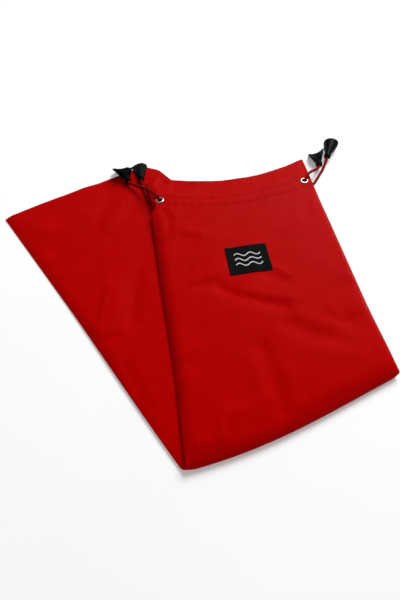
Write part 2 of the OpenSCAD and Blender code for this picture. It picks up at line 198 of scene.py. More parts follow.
# --- materials ---
class Look:
    """A material, and short names for the nodes that vary its colour, roughness and relief."""

    def __init__(self, name, colour, roughness, metallic=0.0, specular=0.5):
        self.material = bpy.data.materials.new(name)
        self.material.use_nodes = True
        self.tree = self.material.node_tree
        self.shader = self.tree.nodes["Principled BSDF"]
        self.coords = self.tree.nodes.new("ShaderNodeTexCoord").outputs
        self.colour = colour
        self.set("Base Color", (*colour, 1))
        self.set("Roughness", roughness)
        self.set("Metallic", metallic)
        self.set("Specular IOR Level", specular)

    def set(self, name, value):
        self.fill(self.shader.inputs[name], value)

    def fill(self, socket, value):
        """Gives a socket a value, or links another node's output to it."""
        if isinstance(value, bpy.types.NodeSocket):
            self.tree.links.new(value, socket)
        else:
            socket.default_value = value

    def node(self, kind, sockets):
        node = self.tree.nodes.new("ShaderNode" + kind)
        for name, value in sockets.items():
            self.fill(node.inputs[name], value)
        return node

    def math(self, operation, *values):
        node = self.node("Math", dict(enumerate(values)))
        node.operation = operation
        return node.outputs[0]

    def uv(self):
        return self.node("SeparateXYZ", {0: self.coords["UV"]}).outputs[:2]

    def noise(self, scale, detail, roughness=0.55):
        sockets = {"Scale": scale, "Detail": detail, "Roughness": roughness}
        return self.node("TexNoise", {"Vector": self.coords["Object"], **sockets}).outputs["Fac"]

    def wave(self, value, period):
        """A sine of the given period, from -1 to 1."""
        return self.math("SINE", self.math("MULTIPLY", value, 2 * math.pi / period))

    def spread(self, factor, low, high):
        """A factor from 0 to 1, spread from low to high."""
        return self.node("MapRange", {"Value": factor, "To Min": low, "To Max": high}).outputs[0]

    def bump(self, height, distance, strength, **below):
        """Relief. Another relief that lies under it is given as Normal."""
        sockets = {"Height": height, "Distance": distance, "Strength": strength, **below}
        return self.node("Bump", sockets).outputs[0]

    def ramp(self, factor, *stops):
        """Colours the material by a factor. A stop is a place and the colour there."""
        node = self.node("ValToRGB", {0: factor})
        for element, (place, colour) in zip(node.color_ramp.elements, stops):
            element.position = place
            element.color = (*colour, 1)
        self.set("Base Color", node.outputs[0])

    def tint(self, factor, *stops):
        """As ramp, with a share of the material's own colour at each stop."""
        self.ramp(factor, *((place, tuple(c * share for c in self.colour)) for place, share in stops))

    def roughen(self, scale, detail, low, high):
        self.set("Roughness", self.spread(self.noise(scale, detail), low, high))


def cloth_material():
    look = Look("coated_cloth", (0.4, 0.0003, 0.0004), 0.5, specular=0.04)
    look.set("Specular Tint", (1, 0.03, 0.03, 1))
    look.tint(look.noise(28, 4), (0.3, 0.97), (0.7, 1.03))
    look.roughen(90, 3, 0.46, 0.6)
    creases = look.bump(look.noise(150, 4, 0.62), 0.5 * MM, 0.16)
    u, v = look.uv()
    weave = look.math("MULTIPLY", look.wave(u, 0.84 * MM), look.wave(v, 0.84 * MM))
    look.set("Normal", look.bump(weave, 0.06 * MM, 0.35, Normal=creases))
    return look.material


def cord_material():
    look = Look("braided_cord", (0.3, 0.001, 0.002), 0.6, specular=0.15)
    look.set("Specular Tint", (1, 0.1, 0.1, 1))
    u, v = look.uv()
    turn = look.math("MULTIPLY", v, 1 / (3.4 * MM))
    left = look.wave(look.math("ADD", u, turn), 0.25)
    right = look.wave(look.math("SUBTRACT", u, turn), 0.25)
    braid = look.math("MULTIPLY", left, right)
    # Painted shade: the braid's grooves are coloured darker and its raised strands lighter, by the same
    # braid relief that drives the bump below.
    look.tint(look.spread(braid, 0.5, 1.0), (0.35, 0.55), (0.95, 1.1))
    strands = look.bump(braid, 0.35 * MM, 0.7)
    look.set("Normal", look.bump(look.noise(2500, 2), 0.1 * MM, 0.2, Normal=strands))
    look.roughen(400, 2, 0.55, 0.75)
    return look.material


def thread_material(name, colour):
    look = Look(name, colour, 0.55, specular=0.12)
    u, v = look.uv()
    twist = look.wave(look.math("ADD", u, look.math("MULTIPLY", v, 1 / (1.1 * MM))), 0.5)
    # Painted shade: the twist's grooves are coloured darker and its raised plies lighter, by the same
    # relief as the bump below.
    look.tint(look.spread(twist, 0.5, 1.0), (0.3, 0.7), (1, 1.15))
    look.set("Normal", look.bump(twist, 0.1 * MM, 0.6))
    return look.material


def tab_material():
    look = Look("moulded_tab", (0.0012, 0.0013, 0.0016), 0.42, specular=0.04)
    look.tint(look.noise(120, 3), (0.3, 0.75), (0.75, 1.5))
    look.roughen(260, 4, 0.34, 0.55)
    grain = look.bump(look.noise(1800, 3), 0.12 * MM, 0.3)
    look.set("Normal", look.bump(look.noise(160, 2), 0.5 * MM, 0.2, Normal=grain))
    return look.material


def metal_material():
    look = Look("nickel", (0.46, 0.44, 0.42), 0.22, metallic=1.0)
    look.tint(look.noise(300, 3), (0.3, 0.88), (0.7, 1.1))
    look.roughen(700, 4, 0.16, 0.34)
    look.set("Normal", look.bump(look.noise(1500, 2), 0.05 * MM, 0.25))
    return look.material


def label_material():
    look = Look("label_weave", (0.0013, 0.0014, 0.0018), 0.62, specular=0.05)
    u, v = look.uv()
    ribs = look.math("ADD", look.wave(v, 0.7 * MM), look.math("MULTIPLY", look.wave(u, 0.35 * MM), 0.5))
    # Painted highlight and shade: the rib tops are coloured lighter and the grooves between ribs darker, by
    # the same relief as the bump below.
    look.tint(look.spread(ribs, 0.4, 0.9), (0.2, 0.6), (0.9, 1.8))
    look.set("Normal", look.bump(ribs, 0.12 * MM, 0.5))
    look.roughen(200, 3, 0.55, 0.72)
    return look.material


CLOTH = cloth_material()
CORD = cord_material()
HEM_THREAD = thread_material("hem_thread", (0.38, 0.001, 0.001))
LABEL_THREAD = thread_material("label_thread", (0.02, 0.021, 0.025))
MOTIF_THREAD = thread_material("motif_thread", (0.72, 0.74, 0.78))
TAB = tab_material()
NICKEL = metal_material()
LABEL = label_material()


# --- mesh making ---
def make_object(name, points, faces, uvs, material):
    """A smooth mesh. uvs holds one pair for each face corner."""
    mesh = bpy.data.meshes.new(name)
    mesh.from_pydata([tuple(p) for p in points], [], [tuple(f) for f in faces])
    layer = mesh.uv_layers.new(name="UVMap")
    layer.data.foreach_set("uv", np.asarray(uvs, np.float32).ravel())
    mesh.shade_smooth()
    mesh.validate()
    mesh.update()
    mesh.materials.append(material)
    obj = bpy.data.objects.new(name, mesh)
    bpy.context.scene.collection.objects.link(obj)
    return obj


def settle(obj, body, node):
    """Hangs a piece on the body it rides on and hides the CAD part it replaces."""
    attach(obj, body)
    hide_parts(node)


class Shape:
    """Points, faces and corner UVs that grow as solids are added."""

    def __init__(self):
        self.points, self.faces, self.uvs = [], [], []

    def add(self, points, faces, uvs):
        base = len(self.points)
        self.points.extend(points)
        self.faces.extend([tuple(base + k for k in f) for f in faces])
        self.uvs.extend(uvs)

    def make(self, name, material):
        return make_object(name, self.points, self.faces, self.uvs, material)


def directions(points):
    step = np.gradient(points, axis=0)
    return step / np.linalg.norm(step, axis=1)[:, None]


CAP = np.array([0.35, 0.72, 0.93])


def round_ends(points, radii):
    """Adds a few narrower rings at each end of a tube."""
    d = directions(points)
    start = [points[0] - d[0] * radii[0] * 0.5 * (1 - c) for c in CAP]
    end = [points[-1] + d[-1] * radii[-1] * 0.5 * (1 - c) for c in CAP[::-1]]
    radii = np.concatenate([CAP * radii[0], radii, CAP[::-1] * radii[-1]])
    return np.vstack([start, points, end]), radii


def skin(ring_v, point_u, closed=False, flipped=False):
    """Quads and UVs over rings of points. ring_v holds each ring's V and point_u each point's U. Where
    they close on themselves, a last value is added for the second time round."""
    around = len(point_u) - 1
    count = len(ring_v) - closed
    order = (0, 3, 2, 1) if flipped else (0, 1, 2, 3)
    faces, uvs = [], []
    for i in range(len(ring_v) - 1):
        for k in range(around):
            cell = [(i, k), (i + 1, k), (i + 1, k + 1), (i, k + 1)]
            cell = [cell[c] for c in order]
            faces.append(tuple(ring % count * around + point % around for ring, point in cell))
            uvs += [(point_u[point], ring_v[ring]) for ring, point in cell]
    return faces, uvs


def tube(points, radius, sides=16, flat=1.0, closed=False):
    """A tube along points, flat times as high as it is wide, with rounded ends."""
    points = np.asarray(points, float)
    radii = np.full(len(points), radius) if np.isscalar(radius) else np.asarray(radius)
    if closed:
        d = np.roll(points, -1, axis=0) - np.roll(points, 1, axis=0)
        d /= np.linalg.norm(d, axis=1)[:, None]
    else:
        points, radii = round_ends(points, radii)
        d = directions(points)
    side = np.cross(d, [0, 0, 1.0])
    side[np.linalg.norm(side, axis=1) < 1e-6] = [1, 0, 0]
    side /= np.linalg.norm(side, axis=1)[:, None]
    rise = np.cross(side, d)
    angle = 2 * math.pi * np.arange(sides) / sides
    rings = (points[:, None] + radii[:, None, None] * (
        side[:, None] * np.cos(angle)[:, None] + flat * rise[:, None] * np.sin(angle)[:, None]))
    length = np.concatenate([[0], np.cumsum(np.linalg.norm(np.diff(points, axis=0), axis=1))])
    turn = np.arange(sides + 1) / sides
    if closed:
        faces, uvs = skin(np.append(length, length[-1] + length[1]), turn, closed=True, flipped=True)
        return rings.reshape(-1, 3), faces, uvs
    faces, uvs = skin(length, turn, flipped=True)
    for i, order in ((0, range(sides - 1, -1, -1)), (len(points) - 1, range(sides))):
        faces.append(tuple(i * sides + k for k in order))
        uvs += [(turn[k], length[i]) for k in order]
    return rings.reshape(-1, 3), faces, uvs


def smooth_line(points, step):
    """A curve through the points (Catmull-Rom), resampled evenly."""
    p = np.asarray(points, float)
    p = np.vstack([2 * p[0] - p[1], p, 2 * p[-1] - p[-2]])
    t = np.linspace(0, 1, 12, endpoint=False)[:, None]
    spans = [0.5 * (2 * b + (c - a) * t + (2 * a - 5 * b + 4 * c - d) * t ** 2
                    + (3 * b - a - 3 * c + d) * t ** 3) for a, b, c, d in zip(p, p[1:], p[2:], p[3:])]
    out = np.vstack([*spans, p[-2]])
    run = np.concatenate([[0], np.cumsum(np.linalg.norm(np.diff(out, axis=0), axis=1))])
    places = np.linspace(0, run[-1], max(2, int(round(run[-1] / step)) + 1))
    return np.stack([np.interp(places, run, out[:, k]) for k in range(3)], axis=1)


def grid_normals(grid):
    across = np.gradient(grid, axis=1)
    down = np.gradient(grid, axis=0)
    normal = np.cross(across, down)
    return normal / np.maximum(np.linalg.norm(normal, axis=2), 1e-12)[:, :, None]


def thick_sheet(name, grid, flat, thickness, material, keep=None):
    """A closed sheet from a grid of middle points. flat holds each point's place in the uncut cloth,
    and keep says which of the grid's cells are cloth."""
    rows, columns = grid.shape[:2]
    half = grid_normals(grid) * thickness / 2
    count = rows * columns
    if keep is None:
        keep = np.ones((rows - 1, columns - 1), bool)
    faces, edges = [], {}
    for i, k in zip(*np.nonzero(keep)):
        a = int(i * columns + k)
        quad = (a, a + 1, a + columns + 1, a + columns)
        faces.append(quad)
        faces.append(tuple(count + q for q in reversed(quad)))
        for p, q in zip(quad, quad[1:] + quad[:1]):
            if (q, p) in edges:
                del edges[(q, p)]
            else:
                edges[(p, q)] = True
    for p, q in edges:
        faces.append((q, p, count + p, count + q))
    corners = np.array([p for face in faces for p in face])
    points = np.vstack([(grid + half).reshape(-1, 3), (grid - half).reshape(-1, 3)])
    return make_object(name, points, faces, flat.reshape(-1, 2)[corners % count], material)


def drop_loose(obj):
    """Takes out the points that no face uses."""
    bm = bmesh.new()
    bm.from_mesh(obj.data)
    bmesh.ops.delete(bm, geom=[v for v in bm.verts if not v.link_faces], context="VERTS")
    bm.to_mesh(obj.data)
    bm.free()


# --- the lie of the cloth ---
def smooth(x, low, high):
    t = np.clip((x - low) / (high - low), 0, 1)
    return t * t * (3 - 2 * t)


def dipped(x, height, slant, dip):
    """A line across the upper half that dips between the sides."""
    return height + slant * (x / BAG_W - 0.5) - dip * (1 - (2 * x / BAG_W - 1) ** 2)


def mouth_y(x):
    return dipped(x, UPPER_LEN, 0, MOUTH_DIP)


def stitch_y(x, line):
    """Lower (0) and upper (1) stitch line of the casing."""
    return dipped(x, HEM_LOW + line * CASING_W, HEM_SLANT, HEM_DIP + line * (MOUTH_DIP - HEM_DIP) / 2)


def casing_y(x):
    return dipped(x, HEM_LOW + CASING_W / 2, HEM_SLANT, (2 * HEM_DIP + MOUTH_DIP) / 3)


def fold_y(x):
    return x * math.tan(SKEW)


EYELETS = {
    "left": np.array([EYELET_INSET, casing_y(EYELET_INSET)]),
    "right": np.array([BAG_W - EYELET_INSET, casing_y(BAG_W - EYELET_INSET)]),
}


def pillow(d):
    """Rise of a panel from its side seam, from 0 at the seam to 1 at EDGE_W."""
    return 1 - (1 - np.clip(d / EDGE_W, 0, 1)) ** 2.2


def ripple(u, v):
    """Soft unevenness of the whole cloth, from about -1 to 1."""
    total = np.zeros_like(u)
    for k, (length, turn, size) in enumerate([
            (118, 0.4, 0.5), (83, 1.9, 0.42), (61, 2.7, 0.36), (47, 0.9, 0.28), (35, 2.2, 0.22),
            (27, 1.3, 0.16), (19, 2.9, 0.11), (14, 0.2, 0.07)]):
        wave = 2 * math.pi / (length * MM)
        bend = 0.9 * np.sin(wave * 0.37 * (u * math.cos(turn + 1.3) + v * math.sin(turn + 1.3)) + k)
        total += size * np.sin(wave * (u * math.cos(turn) + v * math.sin(turn)) + bend + 2.1 * k)
    return total / 1.2


def crease(x, y, points, width, height):
    """A soft ridge (or valley, with height below 0) along a line of points, fading at its ends."""
    points = np.array(points, float) * MM
    width, height = width * MM, height * MM
    best = np.full(x.shape, 1e9)
    for a, b in zip(points, points[1:]):
        run = b - a
        t = np.clip(((x - a[0]) * run[0] + (y - a[1]) * run[1]) / (run @ run), 0, 1)
        best = np.minimum(best, np.hypot(x - a[0] - t * run[0], y - a[1] - t * run[1]))
    return height * np.exp(-(best / width) ** 2)


# Measured from the left end of the fold, in mm: the crease's line, its half width and its height
UPPER_CREASES = [
    ([(70, 194), (98, 175.5), (119, 164.6), (141, 155)], 8, -2.1),
    ([(92, 186), (120, 175), (150, 168)], 8, 1.2),
    ([(125.6, 232.6), (140, 218.4), (158, 201)], 4.5, 1.3),
    ([(130, 204), (150, 190)], 6, -1.1),
    ([(40, 209), (61, 214), (80, 226)], 6, 1.2),
    ([(46, 200), (68, 203)], 7, -1.0),
    ([(33, 4), (36, 18), (41, 33)], 3.0, 1.4),
    ([(27, 8), (30, 24)], 5, -0.6),
    ([(46, 43), (62, 46), (92, 52)], 8, 0.8),
    ([(50, 25), (66, 29), (96, 30)], 9, -1.1),
    ([(101.8, 106), (102.7, 71.7), (102, 42)], 9, -2.2),
    ([(84, 92), (87, 56)], 9, 0.9),
    ([(120, 80), (122, 44)], 9, 0.7),
    ([(2, 103), (15.4, 110.9), (30, 118)], 3.6, 1.4),
    ([(4, 92), (22, 100)], 5, -1.0),
    ([(221, 178), (206, 146), (209, 118)], 9, -1.7),
    ([(186, 137), (200, 124), (222, 128)], 7, -1.2),
    ([(138, 131), (167, 110), (191, 101)], 11, -1.7),
    ([(150, 145), (180, 124)], 10, 1.1),
    ([(168, 92), (205, 84)], 11, 1.0),
    ([(5, 290), (34, 298), (62, 287)], 7, 1.2),
    ([(10, 276), (42, 281)], 9, -0.9),
    ([(14, 342), (22, 322), (20, 300)], 5, -1.2),
    ([(26, 346), (31, 326)], 4, 0.7),
    ([(228, 345), (214, 318), (206, 290)], 7, -1.0),
    ([(216, 352), (204, 330)], 5, 0.7),
    ([(9, 384), (16.2, 389.4), (28, 393)], 3.5, 1.4),
    ([(15, 397), (22, 403)], 5, -2.2),
    ([(5, 392), (10.4, 408.2), (14, 420)], 3, 1.3),
    ([(-2, 390), (2, 405)], 3, -1.2),
    ([(22, 378), (36, 384)], 4, -0.8),
]
LOWER_CREASES = [
    ([(-58, 405), (-68, 369), (-80, 338), (-102, 323), (-136, 302)], 9, -2.2),
    ([(-40, 396), (-46, 362), (-60, 330)], 10, 1.2),
    ([(-96, 366), (-116, 348), (-146, 330)], 12, 1.3),
    ([(-63, 232), (-71, 200), (-77, 160)], 3.2, 1.1),
    ([(-74, 222), (-82, 180)], 6, -0.8),
    ([(-5, 272), (-25, 238), (-34, 211), (-39, 170)], 9, -2.4),
    ([(-34, 266), (-54, 224), (-60, 188)], 10, 1.0),
    ([(-60, 300), (-82, 262)], 13, -0.9),
    ([(-71, 149), (-58, 154)], 5, -1.3),
    ([(-48, 113), (-35.5, 83), (-24, 62)], 6, -1.6),
    ([(-58, 104), (-44, 76)], 6, 0.8),
    ([(-150, 345), (-168, 358)], 12, 1.2),
]


def creases(x, y, which):
    return sum(crease(x, y, *c) for c in which)


def upper_edge(x):
    """Distance from the nearer side of the upper half."""
    return np.minimum(x, BAG_W - x)


def hem_relief(x, y):
    """Grooves at the stitch lines, the cord's swell between them and puckers beside them."""
    total = np.zeros_like(x)
    for line in (0, 1):
        off = y - stitch_y(x, line)
        total -= (0.3 - 0.12 * line) * MM * np.exp(-(off / (1.6 * MM)) ** 2)
        total += 0.22 * MM * np.sin(2 * math.pi * x / (13 * MM) + 2 * line + 14 * x / BAG_W) * np.exp(
            -(off / (7 * MM)) ** 2)
    off = y - casing_y(x)
    total += 0.55 * MM * np.exp(-(off / (4.5 * MM)) ** 2) * smooth(upper_edge(x), 8 * MM, 26 * MM)
    return total


def near_eyelet(x, y):
    """1 under an eyelet's flange, 0 from 15 mm out."""
    total = np.zeros_like(x)
    for centre in EYELETS.values():
        total += 1 - smooth(np.hypot(x - centre[0], y - centre[1]), 6.8 * MM, 15 * MM)
    return total


def from_fold(x, y):
    """Distance from the fold."""
    return -(x * FOLD_OUT[0] + y * FOLD_OUT[1])


def midway(v):
    """1 between the fold and the hem, fading to 0 at both."""
    return smooth(v, 10 * MM, 90 * MM) * (1 - smooth(v, 250 * MM, 340 * MM))


def upper_seam(x, v):
    """Height of the upper half's side seams, which sag towards what lies under them."""
    sag = np.where(x < BAG_W / 2, LEFT_SEAM_SAG, RIGHT_SEAM_SAG)
    return SEAM_Z - sag * midway(v)


def overhang(x, y):
    """1 where the upper half reaches well past the right edge of the lower half."""
    run = BOTTOM_RIGHT - FOLD_RIGHT
    past = ((x - FOLD_RIGHT[0]) * run[1] - (y - FOLD_RIGHT[1]) * run[0]) / np.linalg.norm(run)
    return smooth(past, 2 * MM, 45 * MM)


def fold_drop(v):
    """How far the front panel has sloped down towards the fold."""
    return FOLD_DROP * (1 - np.clip(v / TURN_IN, 0, 1)) ** 2


def mouth_sag(x, y):
    """The front of the mouth lies lower than the casing behind it."""
    return 3 * MM * smooth(y - stitch_y(x, 1), -4 * MM, 34 * MM)


def front_height(x, y):
    """Middle of the front panel's cloth over the plan point x, y of the upper half."""
    v = from_fold(x, y)
    rise = pillow(upper_edge(x))
    seat = near_eyelet(x, y)
    relief = creases(x, y, UPPER_CREASES) + 0.6 * MM * ripple(x, v) + hem_relief(x, y) - mouth_sag(x, y)
    relief = relief * smooth(v, 0, 14 * MM)
    seam = upper_seam(x, v) + CLOTH_T / 2
    z = seam + (FRONT_Z - fold_drop(v) - seam) * rise + relief * rise
    return z * (1 - seat) + FRONT_Z * seat


def back_height(x, y):
    v = from_fold(x, y)
    rise = pillow(upper_edge(x))
    seat = near_eyelet(x, y)
    relief = 0.35 * MM * (1 + ripple(x + 0.3, v)) - hem_relief(x, y) * 0.6 + 0.35 * MM
    relief = relief - RIGHT_DROOP * overhang(x, y) * midway(v)
    seam = upper_seam(x, v) - CLOTH_T / 2
    z = seam + (BACK_Z + relief - seam) * rise
    return z * (1 - seat) + BACK_Z * seat


def lower_level(v):
    """Middle of the lower half's upper cloth: it comes down towards the bottom seam."""
    return NEAR_Z + (FAR_Z - NEAR_Z) * smooth(v, TAPER_START, TAPER_END)


def lower_back_height(x, y, d):
    """Middle of the back panel's cloth on the lower half, d from the nearer side. It is smooth
    where the upper half and the cord ends lie on it."""
    v = from_fold(x, y)
    level = lower_level(v)
    relief = creases(x, y, LOWER_CREASES) + 0.5 * MM * (1 + ripple(x + 0.11, v - 0.2))
    relief = relief + 2.3 * MM * smooth(v, 60 * MM, 180 * MM) * smooth(-x, 30 * MM, 72 * MM)
    bare = smooth(-x, 8 * MM, 34 * MM)
    clear = smooth(np.hypot(x + 38 * MM, y - 442 * MM), 32 * MM, 66 * MM)
    relief = relief * bare * clear
    seam = (level + FLOOR_Z) / 2 + CLOTH_T / 2
    z = seam + (level + relief - seam) * pillow(d)
    return np.maximum(z, FLOOR_Z + CLOTH_T * 1.3)


def bow(s):
    """How far the fold's middle pushes out past its straight line."""
    return 8 * MM * np.sin(math.pi * np.clip(s, 0, 1) ** 0.85) ** 1.1 * (1.15 - 0.5 * s)


def bow_near(s, v):
    """That push, fading with the distance from the fold."""
    return bow(s) * np.exp(-(v / (40 * MM)) ** 2)


def shifted(x, y, out, slip):
    """Plan points moved out past the fold and along it."""
    return x + FOLD_OUT[0] * out + FOLD_DIR[0] * slip, y + FOLD_OUT[1] * out + FOLD_DIR[1] * slip


def side_shift(s, v, upper):
    """The folded ends do not lie edge on edge: how far each point sits along the fold from
    its flat place, for the lower (0) or the upper half (1)."""
    left = (6.2 * upper - 3.2) * MM * (1 - smooth(v, 20 * MM, 240 * MM))
    right = -3.2 * MM * (1 - smooth(v, 0, 290 * MM))
    return left * (1 - s) ** 5 + right * s ** 5


def corner_bulge(s, t):
    """The lower half's right edge swells out near its bottom corner."""
    return 12 * MM * smooth(t, 0.7, 0.88) * (1 - smooth(t, 0.95, 1)) * s ** 6


# --- the panels ---
def fine_ends(length, step, fine_start, fine_end):
    """Places from 0 to 1 along a length, close together at the ends that ask for it."""
    near = np.array([0.7, 1.6, 3.0, 5.0]) * MM
    start = near if fine_start else [0]
    end = length - near[::-1] if fine_end else [length]
    low, high = start[-1], end[0]
    middle = np.linspace(low, high, max(2, int(round((high - low) / step)) + 1))
    places = np.concatenate([[0], start, middle, end, [length]])
    return np.unique(np.round(places / length, 6))


GRID = 2.5 * MM
COLUMNS = fine_ends(BAG_W, GRID, True, True)
RING_STEPS = 20


def lower_rows(panel):
    """Grid of the lower half from its bottom seam to the fold."""
    s, t = np.meshgrid(COLUMNS, 1 - fine_ends(LOWER_LEN, GRID, True, False), indexing="xy")
    left = t[..., None] * BOTTOM_LEFT
    right = FOLD_RIGHT + t[..., None] * (BOTTOM_RIGHT - FOLD_RIGHT)
    plan = left + s[..., None] * (right - left)
    width = np.linalg.norm(right - left, axis=-1)
    d = np.minimum(s, 1 - s) * width
    x, y = plan[..., 0], plan[..., 1]
    v = from_fold(x, y)
    if panel == "back":
        z = lower_back_height(x, y, d)
    else:
        seam = (lower_level(v) + FLOOR_Z) / 2 - CLOTH_T / 2
        z = np.maximum(seam + (FLOOR_Z - seam) * pillow(d), FLOOR_Z)
    x, y = shifted(x, y, bow_near(s, v), side_shift(s, v, 0) + corner_bulge(s, t))
    return np.stack([x, y, z], axis=-1), np.stack([s * BAG_W, -v], axis=-1)


# Half the length of cloth in each panel's turn round the fold
FLAT_HALF = {
    "front": math.pi * (FRONT_Z - FLOOR_Z) / 4,
    "back": math.pi * (BACK_Z - NEAR_Z) / 4,
}


def ring_rows(panel):
    """The turn round the fold. Its seam sides turn on a tighter ring of their own."""
    low, high = (FLOOR_Z, FRONT_Z) if panel == "front" else (NEAR_Z, BACK_Z)
    lean, reach_out = 0.0, (high - low) / 2
    if panel == "front":
        high, lean, reach_out = high - FOLD_DROP, FOLD_LEAN, FOLD_REACH
    last = math.pi - lean
    share = np.linspace(0, 1, RING_STEPS + 1)[1:-1]
    s, share = np.meshgrid(COLUMNS, share, indexing="xy")
    a, seam_a = share * last, share * math.pi
    sign = -1 if panel == "front" else 1
    seam_low = (NEAR_Z + FLOOR_Z) / 2 + sign * CLOTH_T / 2
    seam_high = SEAM_Z - sign * CLOTH_T / 2
    rise = pillow(np.minimum(s, 1 - s) * BAG_W)
    out_seam = (seam_high - seam_low) / 2
    z_middle = low + (high - low) * (1 - np.cos(a)) / (1 + math.cos(lean))
    z_seam = (seam_high + seam_low) / 2 - out_seam * np.cos(seam_a)
    z = z_seam + (z_middle - z_seam) * rise
    out = reach_out * (np.sin(a) - share * math.sin(lean))
    out = out_seam * np.sin(seam_a) * (1 - rise) + out * rise + bow(s)
    x, y = shifted(s * FOLD_RIGHT[0], s * FOLD_RIGHT[1], out, side_shift(s, 0 * s, share))
    reach = FLAT_HALF[panel]
    return np.stack([x, y, z], axis=-1), np.stack([s * BAG_W, (share * 2 - 1) * reach], axis=-1)


def eyelet_spread(x, y):
    """Pushes the cloth out round each eyelet's hole, and says which points are inside it."""
    inside = np.zeros(x.shape, bool)
    hole, reach, core = 4.9 * MM, 11 * MM, 2.4 * MM
    for centre in EYELETS.values():
        dx, dy = x - centre[0], y - centre[1]
        r = np.hypot(dx, dy)
        inside |= r < core
        near = r < reach
        wanted = hole + (reach - hole) * (np.maximum(r, core) - core) / (reach - core)
        scale = np.where(near, wanted / np.maximum(r, 1e-9), 1)
        x, y = centre[0] + dx * scale, centre[1] + dy * scale
    return x, y, inside


def left_pucker(x, y):
    """The drawcord pulls the left edge in beside its eyelet."""
    pull = PUCKER_IN * np.exp(-((y - PUCKER_Y) / (7.5 * MM)) ** 2)
    return x + pull * (1 - smooth(x, 0, 13 * MM))


def upper_rows(panel):
    """Grid of the upper half from the fold to the mouth, in rows that follow the stitch lines."""
    x = COLUMNS * BAG_W
    lines = [fold_y(x), stitch_y(x, 0), stitch_y(x, 1), mouth_y(x)]
    rows = [lines[0]]
    for low, high in zip(lines, lines[1:]):
        first = low is lines[0]
        last = high is lines[-1]
        length = float(np.median(high - low))
        for f in fine_ends(length, GRID if first else 2.2 * MM, not first, not last)[1:]:
            rows.append(low + (high - low) * f)
    y = np.array(rows)
    x = np.broadcast_to(x, y.shape).copy()
    flat = np.stack([x, from_fold(x, y)], axis=-1)
    x, y, inside = eyelet_spread(x, y)
    x = left_pucker(x, y)
    height = front_height if panel == "front" else back_height
    z = height(x, y)
    s, v = np.clip(x / BAG_W, 0, 1), from_fold(x, y)
    x, y = shifted(x, y, bow_near(s, v), side_shift(s, v, 1))
    return np.stack([x, y, z], axis=-1), flat, inside


def facing_rows(panel, edge_row):
    """The mouth edge turned in, and the hem's inner layer down to its stitch line."""
    x = COLUMNS * BAG_W
    up, sheet_z = (1, FACING_FRONT_Z) if panel == "front" else (-1, FACING_BACK_Z)
    seam_z = SEAM_Z + up * FACING_GAP / 2
    inner_x = FACING_INSET + x * (BAG_W - 2 * FACING_INSET) / BAG_W
    d = upper_edge(inner_x) - FACING_INSET

    def facing_z(y):
        ease = smooth(y - stitch_y(inner_x, 0), 0, 12 * MM)
        level = sheet_z + up * (1 - ease) * FACING_RISE
        if panel == "front":
            level = level - 0.85 * mouth_sag(inner_x, y)
        return seam_z + (level - seam_z) * pillow(d)

    rows = []
    end_z = facing_z(mouth_y(inner_x))
    middle, radius = (edge_row[:, 2] + end_z) / 2, (edge_row[:, 2] - end_z) / 2
    for angle in np.linspace(0, math.pi, 9)[1:]:
        share = angle / math.pi
        rows.append(np.stack([x + (inner_x - x) * share, edge_row[:, 1] + np.abs(radius) * math.sin(angle),
                              middle + radius * math.cos(angle)], axis=-1))
    length = float(np.median(mouth_y(x) - stitch_y(x, 0)))
    for f in fine_ends(length, GRID, False, False)[1:]:
        y = mouth_y(inner_x) + (stitch_y(inner_x, 0) - mouth_y(inner_x)) * f
        rows.append(np.stack([inner_x, y, facing_z(y)], axis=-1))
    return np.array(rows)


def panel_object(panel):
    """One whole panel, cut flat and then folded."""
    lower, lower_flat = lower_rows(panel)
    ring, ring_flat = ring_rows(panel)
    upper, upper_flat, inside = upper_rows(panel)
    facing = facing_rows(panel, upper[-1])
    reach = FLAT_HALF[panel]
    lower_flat[..., 1] -= reach
    upper_flat[..., 1] += reach
    facing_flat = np.stack([
        np.broadcast_to(upper_flat[-1, :, 0], facing.shape[:2]),
        upper_flat[-1, :, 1] + np.cumsum(np.full(facing.shape[:2], GRID), axis=0)], axis=-1)
    grid = np.concatenate([lower, ring, upper, facing])
    flat = np.concatenate([lower_flat, ring_flat, upper_flat, facing_flat])
    hole = np.zeros(grid.shape[:2], bool)
    first = len(lower) + len(ring)
    hole[first:first + len(upper)] = inside
    corners = np.stack([hole[:-1, :-1], hole[1:, :-1], hole[:-1, 1:], hole[1:, 1:]])
    keep = ~corners.any(axis=0)
    if panel == "back":
        grid, flat, keep = grid[:, ::-1], flat[:, ::-1], keep[:, ::-1]
    obj = thick_sheet(panel + "_panel", grid + CORNER, flat, CLOTH_T, CLOTH, keep)
    drop_loose(obj)
    return obj


def flat_places(mesh):
    """Each point's place in the flat cloth, from the UV map."""
    loops = np.empty(len(mesh.loops), np.int32)
    mesh.loops.foreach_get("vertex_index", loops)
    uvs = np.empty(len(mesh.loops) * 2, np.float32)
    mesh.uv_layers[0].data.foreach_get("uv", uvs)
    flat = np.zeros((len(mesh.vertices), 3), np.float32)
    flat[loops, :2] = uvs.reshape(-1, 2)
    return flat


def blend_laid_flat(obj, flat):
    """Lays the piece out flat, bakes its transform into the mesh there, and puts back its folded points."""
    mesh = obj.data
    folded = np.empty(len(mesh.vertices) * 3, np.float32)
    mesh.vertices.foreach_get("co", folded)
    mesh.vertices.foreach_set("co", flat.ravel())
    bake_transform(obj)
    mesh.vertices.foreach_set("co", folded)
    mesh.update()


front_panel = panel_object("front")
blend_laid_flat(front_panel, flat_places(front_panel.data))
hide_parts("front_panel_lower", "front_panel_fold", "front_panel_upper", "front_hem_facing")
back_panel = panel_object("back")
blend_laid_flat(back_panel, flat_places(back_panel.data))
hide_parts("back_panel_lower", "back_panel_fold", "back_panel_upper", "back_hem_facing")


# --- side and bottom seams ---
SEAM_R = 0.6 * MM
SEAM_SIDES = 8
LOWEST_SEAM = 0.75 * MM


